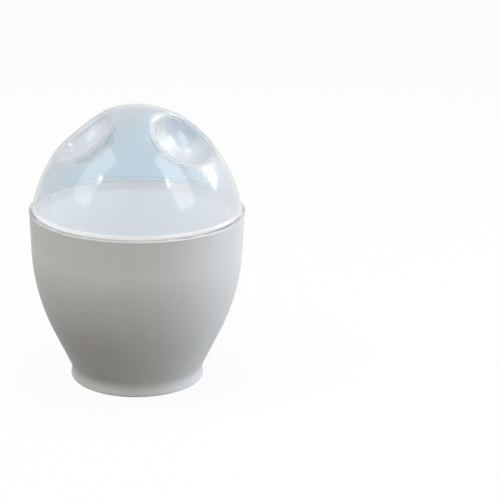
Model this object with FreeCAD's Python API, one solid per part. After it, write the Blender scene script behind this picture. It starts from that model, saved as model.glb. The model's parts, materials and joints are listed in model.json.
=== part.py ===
import FreeCAD, Part
import math
import os

# Microwave egg cooker: a white cup on a low foot ring, closed by a clear dome lid.
# Lengths are in millimetres and angles in degrees, +Z is up, and the origin is the
# middle of the foot ring on the table.

# Cup: an upright rim, a round side below the shoulder and a straight taper to the foot
rim_height = 62.0
rim_radius = 37.95
rim_flare = 0.45
shoulder_drop = 11.2
side_height = 32.4
side_inset = 7.2
cup_wall = 1.6
rim_round = 0.45

# Hollow foot ring, and the cup's floor above it
foot_height = 3.9
foot_flare = 0.55
foot_wall = 2.1
foot_round = 0.6
neck_fillet = 6.0
floor_height = 3.6
floor_thickness = 1.7
floor_corner_radius = 5.0

# Lid dome: a top rounder than the lip's circle that runs into a flatter side
lid_height = 37.1
dome_top_inset = 6.1
dome_side_growth = 13.9
lid_wall = 1.2

# Lip that lies on the cup's rim, and the skirt that drops inside the rim
lip_overhang = 0.15
lip_edge = 0.3
lip_thickness = 1.7
lip_step = 1.25
skirt_depth = 3.0
skirt_wall = 1.0
skirt_clearance = 0.3
skirt_lead = 0.5

# Two finger scoops that leave a ridge between them to lift the lid by
ridge_half_width = 9.2
scoop_radius = 11.4
scoop_straight = 6.2
scoop_lift = 1.4
scoop_edge_round = 2.5
scoop_turns = (-26.5, -172.0)

# Steam vent, a small hole in the front of the ridge
vent_diameter = 1.2
vent_turn = -111.0
vent_drop = 7.1

shoulder_radius = rim_radius - rim_flare
shoulder_height = rim_height - shoulder_drop
cup_inner_radius = rim_radius - cup_wall
lip_radius = rim_radius + lip_overhang
lip_top = rim_height + lip_thickness
lid_top = rim_height + lid_height
dome_top_radius = lip_radius - dome_top_inset
dome_side_radius = lip_radius + dome_side_growth
skirt_outer_radius = cup_inner_radius - skirt_clearance
skirt_inner_radius = skirt_outer_radius - skirt_wall
skirt_bottom = rim_height - skirt_depth


def point(radius, height):
    return FreeCAD.Vector(radius, 0, height)


def on_circle(centre, radius, turn):
    """Point of a circle in the section plane, turned up from the outward direction."""
    angle = math.radians(turn)
    return centre + point(radius * math.cos(angle), radius * math.sin(angle))


def arc(centre, radius, start, end):
    """Arc in the section plane between two turns in degrees."""
    turns = (start, (start + end) / 2, end)
    return Part.Arc(*[on_circle(centre, radius, turn) for turn in turns]).toShape()


def polyline(points):
    return [Part.LineSegment(start, end).toShape() for start, end in zip(points, points[1:])]


def turned_solid(edges):
    face = Part.Face(Part.Wire(edges))
    return face.revolve(FreeCAD.Vector(0, 0, 0), FreeCAD.Vector(0, 0, 1), 360)


def ring_edges(shape, radius, height):
    """Circular edges of a turned solid at one radius and height."""
    found = []
    for edge in shape.Edges:
        if not isinstance(edge.Curve, Part.Circle):
            continue
        same_radius = abs(edge.Curve.Radius - radius) < 0.01
        same_height = abs(edge.Curve.Center.z - height) < 0.01
        if same_radius and same_height:
            found.append(edge)
    return found


def make_cup():
    # The side's circle is upright at the shoulder and has drawn in by the inset where the taper starts.
    side_radius = (side_height ** 2 + side_inset ** 2) / (2 * side_inset)
    side_centre = point(shoulder_radius - side_radius, shoulder_height)
    taper = math.degrees(math.asin(side_height / side_radius))
    slope = math.tan(math.radians(taper))

    outer_side = arc(side_centre, side_radius, -taper, 0)
    inner_side = arc(side_centre, side_radius - cup_wall, 0, -taper)
    taper_top = on_circle(side_centre, side_radius, -taper)
    inner_taper_top = on_circle(side_centre, side_radius - cup_wall, -taper)

    floor_top = floor_height + floor_thickness
    neck_radius = taper_top.x - slope * (taper_top.z - foot_height)
    floor_edge = inner_taper_top.x - slope * (inner_taper_top.z - floor_top)
    foot_radius = neck_radius + foot_flare
    recess_radius = foot_radius - foot_wall

    rim = polyline([
        point(shoulder_radius, shoulder_height),
        point(rim_radius, rim_height),
        point(cup_inner_radius, rim_height),
        point(shoulder_radius - cup_wall, shoulder_height),
    ])
    base = polyline([
        inner_taper_top,
        point(floor_edge, floor_top),
        point(0, floor_top),
        point(0, floor_height),
        point(recess_radius, floor_height),
        point(recess_radius, 0),
        point(foot_radius, 0),
        point(neck_radius, foot_height),
        taper_top,
    ])
    cup = turned_solid([outer_side] + rim + [inner_side] + base)
    cup = cup.makeFillet(neck_fillet, ring_edges(cup, neck_radius, foot_height))
    cup = cup.makeFillet(floor_corner_radius, ring_edges(cup, floor_edge, floor_top))
    cup = cup.makeFillet(rim_round, ring_edges(cup, rim_radius, rim_height))
    cup = cup.makeChamfer(rim_round, ring_edges(cup, cup_inner_radius, rim_height))
    cup = cup.makeFillet(foot_round, ring_edges(cup, foot_radius, 0))
    return cup.makeChamfer(foot_round, ring_edges(cup, recess_radius, 0))


def dome_centres():
    """Centre of the dome's round top, and of the side arc that runs into it at the lip."""
    top_centre = point(0, lid_top - dome_top_radius)
    foot = point(lip_radius - lip_step, lip_top)
    reach = dome_side_radius - dome_top_radius
    span = foot - top_centre
    along = (reach ** 2 - dome_side_radius ** 2 + span.Length ** 2) / (2 * span.Length)
    across = math.sqrt(reach ** 2 - along ** 2)
    direction = span.normalize()
    side_centre = top_centre + direction * along + point(direction.z, -direction.x) * across
    return top_centre, side_centre


def scoop(turn, growth):
    """One finger scoop as a bar with ball ends that lies across the dome beside the ridge."""
    radius = scoop_radius + growth
    top_centre, _ = dome_centres()
    distance = ridge_half_width + scoop_radius
    surface_height = top_centre.z + math.sqrt(dome_top_radius ** 2 - distance ** 2)
    start = FreeCAD.Vector(distance, -scoop_straight / 2, surface_height + scoop_lift)
    end = FreeCAD.Vector(distance, scoop_straight / 2, surface_height + scoop_lift)
    bar = Part.makeCylinder(radius, scoop_straight, start, FreeCAD.Vector(0, 1, 0))
    bar = bar.fuse([Part.makeSphere(radius, start), Part.makeSphere(radius, end)]).removeSplitter()
    bar.rotate(FreeCAD.Vector(0, 0, 0), FreeCAD.Vector(0, 0, 1), turn)
    return bar


def scoop_edges(solid):
    """Edges where the scoops meet the dome, the only ones above the lip that climb."""
    edges = []
    for edge in solid.Edges:
        faces = solid.ancestorsOfType(edge, Part.Face)
        if edge.Degenerated or len(faces) != 2 or faces[0].isSame(faces[1]):
            continue
        if edge.BoundBox.ZLength > scoop_edge_round and edge.BoundBox.ZMin > lip_top:
            edges.append(edge)
    return edges


def pressed_dome(inset, wall_below):
    """Solid under a dome smaller by the inset, with the scoops pressed in.

    The points of the wall below run down from the dome's foot at the lip's top.
    """
    top_centre, side_centre = dome_centres()
    top_radius = dome_top_radius - inset
    side_radius = dome_side_radius - inset
    join = top_centre - side_centre
    join_turn = math.degrees(math.atan2(join.z, join.x))
    foot_turn = math.degrees(math.asin((lip_top - side_centre.z) / side_radius))
    top = arc(top_centre, top_radius, 90, join_turn)
    side = arc(side_centre, side_radius, join_turn, foot_turn)
    below = polyline(
        [on_circle(side_centre, side_radius, foot_turn)]
        + wall_below
        + [point(0, skirt_bottom), point(0, top_centre.z + top_radius)]
    )
    solid = turned_solid([top, side] + below)
    for turn in scoop_turns:
        solid = solid.cut(scoop(turn, inset))
    return solid.makeFillet(scoop_edge_round, scoop_edges(solid))


def make_lid():
    body = pressed_dome(0, [
        point(lip_radius, rim_height + lip_edge),
        point(lip_radius, rim_height),
        point(skirt_outer_radius, rim_height),
        point(skirt_outer_radius, skirt_bottom + skirt_lead),
        point(skirt_outer_radius - skirt_lead, skirt_bottom),
    ])
    hollow = pressed_dome(lid_wall, [
        point(skirt_inner_radius, rim_height),
        point(skirt_inner_radius, skirt_bottom),
    ])
    vent = Part.makeCylinder(
        vent_diameter / 2, lip_radius, point(0, lid_top - vent_drop), FreeCAD.Vector(1, 0, 0)
    )
    vent.rotate(FreeCAD.Vector(0, 0, 0), FreeCAD.Vector(0, 0, 1), vent_turn)
    return body.cut(hollow).cut(vent)


def main():
    os.makedirs("parts", exist_ok=True)
    pieces = {"cup": make_cup(), "lid": make_lid()}
    for name, shape in pieces.items():
        solids = shape.Solids
        if len(solids) != 1 or not shape.isValid():
            raise RuntimeError(name + " is not one valid solid")
        solids[0].exportStep("parts/" + name + ".step")
        print(name, "volume", round(shape.Volume, 1))


main()
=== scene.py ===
"""Looks of a microwave egg cooker: a white cup with a clear dome lid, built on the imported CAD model."""

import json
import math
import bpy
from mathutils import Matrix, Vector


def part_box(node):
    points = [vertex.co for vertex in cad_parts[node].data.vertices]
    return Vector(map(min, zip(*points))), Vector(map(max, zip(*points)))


bl_info = {
    "name": "Egg Cooker Looks",
    "version": (1, 0, 0),
    "blender": (4, 5, 0),
    "location": "3D Viewport > Sidebar > Egg Cooker",
    "description": "Moulded plastic finishes, studio stage and camera for a microwave egg cooker",
    "category": "Object",
}

import bmesh
import bpy
from mathutils import Matrix, Vector

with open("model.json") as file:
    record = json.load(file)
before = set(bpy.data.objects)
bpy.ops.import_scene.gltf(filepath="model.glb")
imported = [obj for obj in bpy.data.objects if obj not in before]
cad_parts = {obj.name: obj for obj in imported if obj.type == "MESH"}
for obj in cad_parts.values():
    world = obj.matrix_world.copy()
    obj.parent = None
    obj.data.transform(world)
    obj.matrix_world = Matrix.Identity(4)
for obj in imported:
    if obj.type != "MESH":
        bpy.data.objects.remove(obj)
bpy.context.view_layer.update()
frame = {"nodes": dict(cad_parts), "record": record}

MM = 0.001
WHITE = (1.0, 1.0, 1.0)
LEVEL_ONLY = (1.0, 1.0, 0.0)

PHOTO_SIDE = 500
SENSOR_WIDTH = 36.0
NEAR_CLIP = 0.01
FLOOR_SIDES = 96

CUP_LOW, CUP_HIGH = (Vector(corner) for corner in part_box("cup"))
LID_HIGH = Vector(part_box("lid")[1])

# Cup plastic. Noise scales are in waves per metre.
CUP_IOR = 1.40
FLOW_STRETCH = (1.0, 1.0, 0.18)
STREAK_SCALE = 160.0
STREAK_SHARE = 0.6
FLOW_LEVEL = 0.5
FLOW_SOFTNESS = 0.22
CUP_CLOUD_SCALE = 38.0
ROUGHNESS_SPREAD = 0.10
GRAIN_SCALE = 2600.0
GRAIN_ROUGHNESS = 0.6
GRAIN_SHARE = 0.5
STREAK_RELIEF = 0.25
GATE_ZONE = 4.5 * MM
GATE_ZONE_SOFTNESS = 0.5 * MM
GATE_WIDTH = 0.25 * MM
GATE_SOFTNESS = 0.2 * MM
GATE_RELIEF = 12.0

# Zones of the lid
DOME_CENTRE = Vector((0.0, 0.0, LID_HIGH.z - 32.0 * MM))
SKIN_SOFTNESS = 0.01 * MM
# The scoop zone carries a painted sheen: milkier, less blue walls that stand for the light the scoops' steep
# walls reflect.
SCOOPS = ("scoop_right", "scoop_left")
SCOOP_REACH = 14.6 * MM
SCOOP_SOFTNESS = 1.2 * MM
# Clearer patch in the right scoop, a gap in the scoops' painted sheen.
SHEEN_GAP_CENTRE = (15.0 * MM, 3.0 * MM, 90.5 * MM)
SHEEN_GAP_REACH = 6.5 * MM
SHEEN_GAP_SOFTNESS = 1.0 * MM
SHEEN_GAP_STRENGTH = 0.85
LIP_ZONE = 1.2 * MM
LIP_SOFTNESS = 0.4 * MM
SKIRT_RADIUS = 36.2 * MM
SKIRT_SOFTNESS = 0.1 * MM

# Lid plastic. Haze and gloss grow with a power of how much edge on a skin is seen.
SKIRT_TINT = (0.995, 0.995, 0.995)
# In the scoops the blue tint is mostly taken out and the haze raised, a painted sheen for the light their
# steep walls reflect.
SCOOP_SHEEN_UNTINT = 0.75
LID_CLOUD_SCALE = 45.0
HAZE_SPREAD = 0.3
HAZE_EXPONENT = 2.0
SCOOP_EDGE_SHEEN = 0.3
WAVE_SCALE = 70.0
SPECK_SCALE = 900.0
SPECK_RELIEF = 0.03
FACE_GLOSS = 0.04
EDGE_GLOSS = 0.9
GLOSS_EXPONENT = 5.0
SCOOP_GLOSS_LOSS = 0.7

# Lamps
LAMP_AIM = Vector((0.0, 0.0, 80.0 * MM))
KEY_COLOR = (0.78, 0.835, 1.0)
TOP_COLOR = (1.0, 0.84, 0.735)
FILL_COLOR = (0.95, 1.0, 0.97)
FRONT_COLOR = (0.83, 1.0, 0.96)
LOW_COLOR = (1.0, 0.95, 0.88)
GLOW_COLOR = (1.0, 0.86, 0.84)
GLOW_PLACE = (0.0, 0.0, LID_HIGH.z - 12.0 * MM)
LEFT_CARD_SHARE = 0.75
BACK_CARD_SHARE = 0.5
SIDE_CARD_SHARE = 0.45


def opening_centre(name):
    """Middle of one of the hollows that the record states."""
    for opening in frame["record"]["physics"]["openings"]:
        if opening["name"] == name:
            low, high = (Vector(corner) for corner in opening["box_m"])
            return (low + high) / 2
    raise KeyError("the record states no opening called " + name)


class Field:
    """A number that changes over a surface, so that masks are written as plain expressions."""

    def __init__(self, shader, socket):
        self.shader = shader
        self.socket = socket

    def _math(self, operation, first, second=None):
        sockets = {0: first} if second is None else {0: first, 1: second}
        return self.shader.number("ShaderNodeMath", {"operation": operation}, sockets)

    def __add__(self, other):
        return self._math("ADD", self, other)

    def __radd__(self, other):
        return self._math("ADD", other, self)

    def __sub__(self, other):
        return self._math("SUBTRACT", self, other)

    def __rsub__(self, other):
        return self._math("SUBTRACT", other, self)

    def __mul__(self, other):
        return self._math("MULTIPLY", self, other)

    def __rmul__(self, other):
        return self._math("MULTIPLY", other, self)

    def __pow__(self, other):
        return self._math("POWER", self, other)

    def __abs__(self):
        return self._math("ABSOLUTE", self)

    def below(self, limit, softness):
        """1 where the number is below the limit, falling softly to 0 above it."""
        settings = {"interpolation_type": "SMOOTHSTEP"}
        ends = {1: limit - softness, 2: limit + softness, 3: 1.0, 4: 0.0}
        return self.shader.number("ShaderNodeMapRange", settings, {0: self, **ends})


class Shader:
    """The node tree of one material or world, built from a few short calls."""

    def __init__(self, owner):
        owner.use_nodes = True
        self.tree = owner.node_tree
        self.tree.nodes.clear()

    def node(self, kind, settings=None, sockets=None):
        """One node: its settings are set first, then its sockets get values or links."""
        node = self.tree.nodes.new(kind)
        for name, value in (settings or {}).items():
            setattr(node, name, value)
        for name, value in (sockets or {}).items():
            if isinstance(value, Field):
                value = value.socket
            if isinstance(value, bpy.types.NodeSocket):
                self.tree.links.new(value, node.inputs[name])
            else:
                node.inputs[name].default_value = value
        return node

    def number(self, kind, settings=None, sockets=None, output=0):
        return Field(self, self.node(kind, settings, sockets).outputs[output])

    def vector(self, operation, first, second):
        settings = {"operation": operation}
        return self.node("ShaderNodeVectorMath", settings, {0: first, 1: second}).outputs[0]

    def vector_number(self, operation, first, second):
        settings = {"operation": operation}
        return self.number("ShaderNodeVectorMath", settings, {0: first, 1: second}, output="Value")

    def place(self):
        """Position on the object in metres, the same for every view."""
        return self.node("ShaderNodeTexCoord").outputs["Object"]

    def height(self, place):
        return self.number("ShaderNodeSeparateXYZ", {}, {0: place}, output="Z")

    def from_axis(self, place):
        """Distance from the object's upright axis."""
        return self.distance(self.vector("MULTIPLY", place, LEVEL_ONLY), (0.0, 0.0, 0.0))

    def distance(self, place, centre):
        return self.vector_number("DISTANCE", place, centre)

    def noise(self, place, scale, detail=2.0, roughness=0.5):
        sockets = {"Vector": place, "Scale": scale, "Detail": detail, "Roughness": roughness}
        return self.number("ShaderNodeTexNoise", {}, sockets)

    def outer_skin(self, place, centre):
        """1 on the skin of a closed shell that looks away from the centre, 0 on the skin inside."""
        normal = self.node("ShaderNodeTexCoord").outputs["Normal"]
        away = self.vector_number("DOT_PRODUCT", normal, self.vector("SUBTRACT", place, centre))
        behind = self.number("ShaderNodeNewGeometry", output="Backfacing")
        return 1.0 - (away * (1.0 - 2.0 * behind)).below(0.0, SKIN_SOFTNESS)

    def blend(self, factor, first, second):
        settings = {"data_type": "RGBA"}
        return self.node("ShaderNodeMix", settings, {0: factor, 6: first, 7: second}).outputs[2]

    def bump(self, height, depth):
        sockets = {"Height": height, "Strength": 1.0, "Distance": depth}
        return self.node("ShaderNodeBump", {}, sockets).outputs[0]

    def see_through(self, color):
        return self.node("ShaderNodeBsdfTransparent", {}, {"Color": opaque(color)}).outputs[0]

    def gloss(self, sockets):
        return self.node("ShaderNodeBsdfGlossy", {}, sockets).outputs[0]

    def background(self, color):
        return self.node("ShaderNodeBackground", {}, {"Color": opaque(color)}).outputs[0]

    def mixed(self, factor, first, second):
        """The first shader where the factor is 0 and the second where it is 1."""
        return self.node("ShaderNodeMixShader", {}, {0: factor, 1: first, 2: second}).outputs[0]

    def surface(self, shader, output="ShaderNodeOutputMaterial"):
        self.node(output, {}, {"Surface": shader})


def opaque(color):
    return (*color, 1.0)


def dress(node_name, material):
    """Gives a CAD node its finish in every material slot, and leaves its mesh as it is."""
    piece = frame["nodes"][node_name]
    if not piece.material_slots:
        piece.data.materials.append(material)
    for slot in piece.material_slots:
        slot.material = material


class CupFinish(bpy.types.PropertyGroup):
    plastic: bpy.props.FloatVectorProperty(
        name="Plastic",
        description="Colour of the white moulded cup",
        subtype="COLOR",
        default=(0.89, 0.885, 0.87),
        min=0.0,
        max=1.0,
    )
    flow_tone: bpy.props.FloatVectorProperty(
        name="Flow Tone",
        description="Slightly warmer colour in the faint flow streaks of the moulding",
        subtype="COLOR",
        default=(0.855, 0.845, 0.825),
        min=0.0,
        max=1.0,
    )
    roughness: bpy.props.FloatProperty(
        name="Roughness",
        description="Roughness of the semi-gloss skin",
        subtype="FACTOR",
        default=0.50,
        min=0.0,
        max=1.0,
    )
    grain: bpy.props.FloatProperty(
        name="Grain",
        description="Depth of the fine grain left by the mould",
        subtype="DISTANCE",
        unit="LENGTH",
        default=0.006 * MM,
    )
    gate_radius: bpy.props.FloatProperty(
        name="Gate Radius",
        description="Radius of the round gate mark in the middle of the underside",
        subtype="DISTANCE",
        unit="LENGTH",
        default=1.8 * MM,
    )


def cup_plastic(finish):
    """White moulded plastic with faint flow streaks, a fine grain and a gate mark underneath."""
    material = bpy.data.materials.new("white_cup_plastic")
    s = Shader(material)
    place = s.place()
    streaks = s.noise(s.vector("MULTIPLY", place, FLOW_STRETCH), STREAK_SCALE, 3.0)
    clouds = s.noise(place, CUP_CLOUD_SCALE)
    grain = s.noise(place, GRAIN_SCALE, roughness=GRAIN_ROUGHNESS)

    underside = s.height(place).below(CUP_LOW.z + GATE_ZONE, GATE_ZONE_SOFTNESS)
    ring = abs(s.from_axis(place) - finish.gate_radius).below(GATE_WIDTH, GATE_SOFTNESS)
    gate = underside * ring

    flow = streaks * STREAK_SHARE + clouds * (1.0 - STREAK_SHARE)
    in_flow = flow.below(FLOW_LEVEL, FLOW_SOFTNESS)
    relief = grain * GRAIN_SHARE + streaks * STREAK_RELIEF - gate * GATE_RELIEF
    skin = s.node("ShaderNodeBsdfPrincipled", {}, {
        "Base Color": s.blend(in_flow, opaque(finish.plastic), opaque(finish.flow_tone)),
        "Roughness": finish.roughness + (clouds - 0.5) * ROUGHNESS_SPREAD,
        "IOR": CUP_IOR,
        "Normal": s.bump(relief, finish.grain),
    })
    s.surface(skin.outputs[0])
    return material


class EGGCOOKER_OT_cup(bpy.types.Operator):
    """Finish the cup in white moulded plastic"""

    bl_idname = "eggcooker.cup"
    bl_label = "Finish Cup"

    def execute(self, context):
        dress("cup", cup_plastic(context.scene.egg_cup))
        return {"FINISHED"}


class LidFinish(bpy.types.PropertyGroup):
    tint: bpy.props.FloatVectorProperty(
        name="Tint",
        description="Faint blue that light takes on at each skin of the clear wall",
        subtype="COLOR",
        default=(0.837, 0.890, 0.926),
        min=0.0,
        max=1.0,
    )
    lip_tint: bpy.props.FloatVectorProperty(
        name="Lip Tint",
        description="Deeper tint of the thick lip that lies on the cup's rim",
        subtype="COLOR",
        default=(0.80, 0.82, 0.835),
        min=0.0,
        max=1.0,
    )
    milk: bpy.props.FloatVectorProperty(
        name="Milk",
        description="Colour of the milky haze in the plastic",
        subtype="COLOR",
        default=(0.79, 0.785, 0.785),
        min=0.0,
        max=1.0,
    )
    haze: bpy.props.FloatProperty(
        name="Haze",
        description="How much the haze covers where the wall is seen face on",
        subtype="FACTOR",
        default=0.05,
        min=0.0,
        max=1.0,
    )
    grazing_haze: bpy.props.FloatProperty(
        name="Grazing Haze",
        description="How much more the haze covers where the outer skin is seen edge on",
        subtype="FACTOR",
        default=0.80,
        min=0.0,
        max=1.0,
    )
    # Haze in the scoop walls is a painted sheen for the light their steep walls reflect.
    scoop_painted_sheen: bpy.props.FloatProperty(
        name="Scoop Haze",
        description="How much the haze covers in the walls of the finger scoops",
        subtype="FACTOR",
        default=0.22,
        min=0.0,
        max=1.0,
    )
    milk_roughness: bpy.props.FloatProperty(
        name="Milk Roughness",
        description="How widely the haze spreads the light that it throws back",
        subtype="FACTOR",
        default=0.6,
        min=0.0,
        max=1.0,
    )
    roughness: bpy.props.FloatProperty(
        name="Roughness",
        description="Roughness of the glossy skin",
        subtype="FACTOR",
        default=0.10,
        min=0.0,
        max=1.0,
    )
    waviness: bpy.props.FloatProperty(
        name="Waviness",
        description="Depth of the shallow unevenness of the moulded wall",
        subtype="DISTANCE",
        unit="LENGTH",
        default=0.02 * MM,
    )


def scoop_sheen_zone(s, place):
    """1 in the finger scoops, whose walls get a painted sheen, but for a clearer patch in the right one that
    the painted sheen leaves out.
    """
    zone = 0.0
    for name in SCOOPS:
        zone = s.distance(place, opening_centre(name)).below(SCOOP_REACH, SCOOP_SOFTNESS) + zone
    from_sheen_gap = s.distance(place, SHEEN_GAP_CENTRE)
    patch = from_sheen_gap.below(SHEEN_GAP_REACH, SHEEN_GAP_SOFTNESS)
    return zone * (1.0 - patch * SHEEN_GAP_STRENGTH)


def dome_wall(s, finish, place):
    """Tinted clear wall with a milky haze and gloss that both grow where it is seen edge on."""
    clouds = s.noise(place, LID_CLOUD_SCALE)
    waves = s.noise(place, WAVE_SCALE, 1.0)
    specks = s.noise(place, SPECK_SCALE)
    scoops = scoop_sheen_zone(s, place)
    outer = s.outer_skin(place, DOME_CENTRE)
    edge_on = s.number("ShaderNodeLayerWeight", output="Facing")
    hazing = edge_on ** HAZE_EXPONENT

    haze = finish.haze * (1.0 + (clouds - 0.5) * HAZE_SPREAD) + finish.grazing_haze * hazing * outer
    # In the scoops the haze is raised and most of the blue tint taken out: a painted sheen for the light
    # their steep walls reflect.
    haze = haze + (finish.scoop_painted_sheen + SCOOP_EDGE_SHEEN * hazing - haze) * scoops
    clear = s.mixed(scoops * SCOOP_SHEEN_UNTINT, s.see_through(finish.tint), s.see_through(SKIRT_TINT))
    milky = s.gloss({"Color": opaque(finish.milk), "Roughness": finish.milk_roughness})

    relief = s.bump(waves + specks * SPECK_RELIEF, finish.waviness)
    shine = EDGE_GLOSS * edge_on ** GLOSS_EXPONENT * outer * (1.0 - SCOOP_GLOSS_LOSS * scoops)
    mirror = s.gloss({"Roughness": finish.roughness, "Normal": relief})
    return s.mixed(FACE_GLOSS + shine, s.mixed(haze, clear, milky), mirror)


def lid_plastic(finish):
    """Clear, faintly blue dome on a lip of deeper tint, with a skirt that hardly shows."""
    material = bpy.data.materials.new("clear_lid_plastic")
    s = Shader(material)
    place = s.place()
    lip = s.height(place).below(CUP_HIGH.z + LIP_ZONE, LIP_SOFTNESS)
    inside = s.from_axis(place).below(SKIRT_RADIUS, SKIRT_SOFTNESS)
    rim = s.mixed(inside, s.see_through(finish.lip_tint), s.see_through(SKIRT_TINT))
    s.surface(s.mixed(lip, dome_wall(s, finish, place), rim))
    return material


class EGGCOOKER_OT_lid(bpy.types.Operator):
    """Finish the lid in clear, faintly blue plastic"""

    bl_idname = "eggcooker.lid"
    bl_label = "Finish Lid"

    def execute(self, context):
        dress("lid", lid_plastic(context.scene.egg_lid))
        return {"FINISHED"}


class StageSettings(bpy.types.PropertyGroup):
    floor_radius: bpy.props.FloatProperty(
        name="Floor Radius",
        description="Radius of the round floor",
        subtype="DISTANCE",
        unit="LENGTH",
        default=1.6,
    )
    floor_color: bpy.props.FloatVectorProperty(
        name="Floor Colour",
        description="Colour of the floor that takes the light and the cooker's shadow",
        subtype="COLOR",
        default=(0.03, 0.03, 0.03),
        min=0.0,
        max=1.0,
    )
    floor_glow: bpy.props.FloatProperty(
        name="Floor Glow",
        description="White that the camera sees on the floor before light and shadow",
        default=0.945,
        min=0.0,
        max=2.0,
    )
    surround: bpy.props.FloatVectorProperty(
        name="Surround",
        description="Soft light of the room on the object",
        subtype="COLOR",
        default=(0.43, 0.405, 0.39),
        min=0.0,
        max=2.0,
    )
    key_power: bpy.props.FloatProperty(
        name="Key Power",
        description="Power of the softbox on the right",
        unit="POWER",
        default=2.4,
        min=0.0,
    )
    top_power: bpy.props.FloatProperty(
        name="Top Power",
        description="Power of the softbox overhead",
        unit="POWER",
        default=6.5,
        min=0.0,
    )
    fill_power: bpy.props.FloatProperty(
        name="Fill Power",
        description="Power of the soft lamp high on the left",
        unit="POWER",
        default=3.0,
        min=0.0,
    )
    front_power: bpy.props.FloatProperty(
        name="Front Power",
        description="Power of the soft lamp in front on the right",
        unit="POWER",
        default=0.52,
        min=0.0,
    )
    low_power: bpy.props.FloatProperty(
        name="Low Power",
        description="Power of the low soft lamp straight in front",
        unit="POWER",
        default=0.15,
        min=0.0,
    )
    glow_power: bpy.props.FloatProperty(
        name="Glow Power",
        description="Power of the lamp that stands for the light the hazy dome sends down into the cup",
        unit="POWER",
        default=0.014,
        min=0.0,
    )
    card_power: bpy.props.FloatProperty(
        name="Card Power",
        description="Power of the two tall lamps that draw the soft bands on the lid",
        unit="POWER",
        default=1.0,
        min=0.0,
    )
    spot_power: bpy.props.FloatProperty(
        name="Spot Power",
        description="Power of the two small lamps that draw the bright specks on the lid",
        unit="POWER",
        default=0.07,
        min=0.0,
    )
    scoop_light_power: bpy.props.FloatProperty(
        name="Scoop Light Power",
        description="Power of the lamps on the right and behind that draw the highlights of the right scoop",
        unit="POWER",
        default=0.7,
        min=0.0,
    )
    camera_distance: bpy.props.FloatProperty(
        name="Camera Distance",
        description="Distance of the camera in front of the cooker's axis",
        subtype="DISTANCE",
        unit="LENGTH",
        default=0.54593,
    )
    camera_height: bpy.props.FloatProperty(
        name="Camera Height",
        description="Height of the camera above the floor",
        subtype="DISTANCE",
        unit="LENGTH",
        default=0.22727,
    )
    camera_pan: bpy.props.FloatProperty(
        name="Camera Pan",
        description="Turn of the camera to the right, which leaves the cooker left in the picture",
        subtype="ANGLE",
        unit="ROTATION",
        default=math.radians(4.2071),
    )
    camera_tilt: bpy.props.FloatProperty(
        name="Camera Tilt",
        description="Tilt of the camera down to the cooker",
        subtype="ANGLE",
        unit="ROTATION",
        default=math.radians(18.2583),
    )
    camera_roll: bpy.props.FloatProperty(
        name="Camera Roll",
        description="Small roll of the camera about its own line of sight",
        subtype="ANGLE",
        unit="ROTATION",
        default=math.radians(1.2944),
    )
    focal_pixels: bpy.props.FloatProperty(
        name="Focal Length in Pixels",
        description="Focal length of the camera in pixels of the square photograph",
        default=1610.98,
    )


def seen_or_mirrored(s):
    """1 for what the camera sees directly, mirrored in gloss or through the clear lid."""
    path = s.node("ShaderNodeLightPath").outputs
    direct = Field(s, path["Is Camera Ray"]) + Field(s, path["Is Glossy Ray"])
    settings = {"operation": "ADD", "use_clamp": True}
    return s.number("ShaderNodeMath", settings, {0: direct, 1: path["Is Transmission Ray"]})


def floor_material(settings):
    """Floor that shows near white with the cooker's soft shadow, but throws little light back."""
    material = bpy.data.materials.new("pale_floor")
    s = Shader(material)
    card = s.node("ShaderNodeBsdfDiffuse", {}, {"Color": opaque(settings.floor_color)}).outputs[0]
    glow = s.node("ShaderNodeEmission", {}, {"Strength": settings.floor_glow}).outputs[0]
    lit = s.node("ShaderNodeAddShader", {}, {0: card, 1: glow}).outputs[0]
    s.surface(s.mixed(seen_or_mirrored(s), card, lit))
    return material


def make_floor(settings):
    mesh = bpy.data.meshes.new("floor")
    form = bmesh.new()
    bmesh.ops.create_circle(form, cap_ends=True, segments=FLOOR_SIDES, radius=settings.floor_radius)
    form.to_mesh(mesh)
    form.free()
    floor = bpy.data.objects.new("floor", mesh)
    floor.location.z = CUP_LOW.z
    bpy.context.scene.collection.objects.link(floor)
    mesh.materials.append(floor_material(settings))


def light_world(settings):
    world = bpy.data.worlds.new("studio_surround")
    bpy.context.scene.world = world
    s = Shader(world)
    both = s.mixed(seen_or_mirrored(s), s.background(settings.surround), s.background(WHITE))
    s.surface(both, "ShaderNodeOutputWorld")


def lamp(name, place, power, size, color=WHITE, in_gloss=False):
    """Rectangular softbox that faces the lid and is seen either in soft light or in gloss alone."""
    light = bpy.data.lights.new(name, "AREA")
    light.shape = "RECTANGLE"
    light.size = size[0]
    light.size_y = size[1]
    light.energy = power
    light.color = color
    body = bpy.data.objects.new(name, light)
    body.location = place
    body.rotation_euler = (LAMP_AIM - Vector(place)).to_track_quat("-Z", "Y").to_euler()
    body.visible_diffuse = not in_gloss
    body.visible_transmission = not in_gloss
    body.visible_glossy = in_gloss
    body.visible_camera = False
    bpy.context.scene.collection.objects.link(body)


def soft_lamps(settings):
    """Name, place, power, size and colour of each lamp that lights the plastic."""
    return (
        ("key_right", (0.54, 0.05, 0.29), settings.key_power, (0.32, 0.60), KEY_COLOR),
        ("top", (0.05, 0.05, 0.90), settings.top_power, (0.40, 0.40), TOP_COLOR),
        ("fill", (-0.34, -0.16, 0.72), settings.fill_power, (0.35, 0.35), FILL_COLOR),
        ("front", (0.42, -0.38, 0.22), settings.front_power, (0.30, 0.30), FRONT_COLOR),
        ("low", (0.08, -0.60, 0.10), settings.low_power, (0.30, 0.20), LOW_COLOR),
        ("dome_glow", GLOW_PLACE, settings.glow_power, (0.03, 0.03), GLOW_COLOR),
    )


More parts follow.
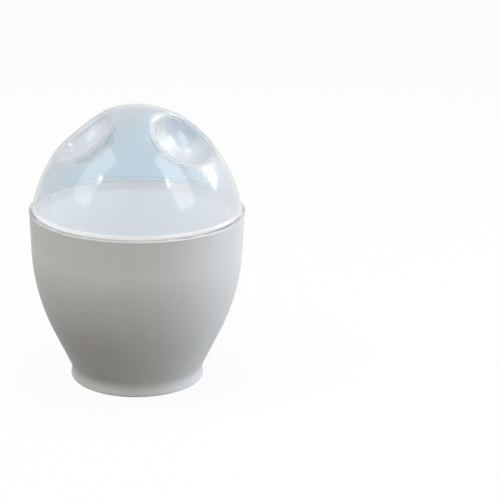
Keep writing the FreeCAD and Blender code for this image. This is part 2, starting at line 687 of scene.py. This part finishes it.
def gloss_lamps(settings):
    """Name, place, power and size of each lamp that only shows as a highlight on the lid."""
    left_power = settings.card_power * LEFT_CARD_SHARE
    back_power = settings.scoop_light_power * BACK_CARD_SHARE
    side_power = settings.scoop_light_power * SIDE_CARD_SHARE
    return (
        ("card_left", (-0.45, -0.155, 0.48), left_power, (0.27, 0.50)),
        ("card_right", (0.41, -0.24, 0.48), settings.card_power, (0.25, 0.50)),
        ("spot_left", (-0.385, -0.25, 0.46), settings.spot_power, (0.03, 0.06)),
        ("spot_right", (0.32, -0.32, 0.46), settings.spot_power, (0.03, 0.06)),
        ("rim_card", (0.464, 0.187, 0.29), settings.scoop_light_power, (0.16, 0.20)),
        ("back_card", (0.19, 0.14, 0.68), back_power, (0.12, 0.12)),
        ("side_card", (0.50, 0.04, 0.50), side_power, (0.20, 0.45)),
    )


def place_camera(settings):
    camera = bpy.data.cameras.new("camera")
    camera.sensor_width = SENSOR_WIDTH
    camera.lens = SENSOR_WIDTH * settings.focal_pixels / PHOTO_SIDE
    camera.clip_start = NEAR_CLIP
    body = bpy.data.objects.new("camera", camera)
    turn = Matrix.Rotation(-settings.camera_pan, 4, "Z")
    nod = Matrix.Rotation(math.pi / 2 - settings.camera_tilt, 4, "X")
    roll = Matrix.Rotation(settings.camera_roll, 4, "Z")
    place = Matrix.Translation((0.0, -settings.camera_distance, settings.camera_height))
    body.matrix_world = place @ turn @ nod @ roll
    bpy.context.scene.collection.objects.link(body)
    bpy.context.scene.camera = body


class EGGCOOKER_OT_stage(bpy.types.Operator):
    """Set the floor, the soft studio light and the camera"""

    bl_idname = "eggcooker.stage"
    bl_label = "Set Stage"

    def execute(self, context):
        settings = context.scene.egg_stage
        make_floor(settings)
        light_world(settings)
        for row in soft_lamps(settings):
            lamp(*row)
        for row in gloss_lamps(settings):
            lamp(*row, in_gloss=True)
        place_camera(settings)
        context.scene.view_settings.view_transform = "Standard"
        return {"FINISHED"}


class EGGCOOKER_PT_panel(bpy.types.Panel):
    """Sizes, colours and steps of the egg cooker's looks"""

    bl_idname = "EGGCOOKER_PT_panel"
    bl_label = "Egg Cooker"
    bl_space_type = "VIEW_3D"
    bl_region_type = "UI"
    bl_category = "Egg Cooker"

    def draw(self, context):
        for group, step in PANEL_ROWS:
            box = self.layout.box()
            settings = getattr(context.scene, group)
            for name in settings.__annotations__:
                box.prop(settings, name)
            box.operator(step)


PANEL_ROWS = (
    ("egg_cup", "eggcooker.cup"),
    ("egg_lid", "eggcooker.lid"),
    ("egg_stage", "eggcooker.stage"),
)
GROUPS = {"egg_cup": CupFinish, "egg_lid": LidFinish, "egg_stage": StageSettings}
CLASSES = (
    CupFinish,
    LidFinish,
    StageSettings,
    EGGCOOKER_OT_cup,
    EGGCOOKER_OT_lid,
    EGGCOOKER_OT_stage,
    EGGCOOKER_PT_panel,
)


def register():
    for cls in CLASSES:
        bpy.utils.register_class(cls)
    for name, group in GROUPS.items():
        setattr(bpy.types.Scene, name, bpy.props.PointerProperty(type=group))


def unregister():
    for name in GROUPS:
        delattr(bpy.types.Scene, name)
    for cls in reversed(CLASSES):
        bpy.utils.unregister_class(cls)


def main():
    register()
    bpy.ops.eggcooker.cup()
    bpy.ops.eggcooker.lid()
    bpy.ops.eggcooker.stage()


if __name__ == "__main__":
    main()
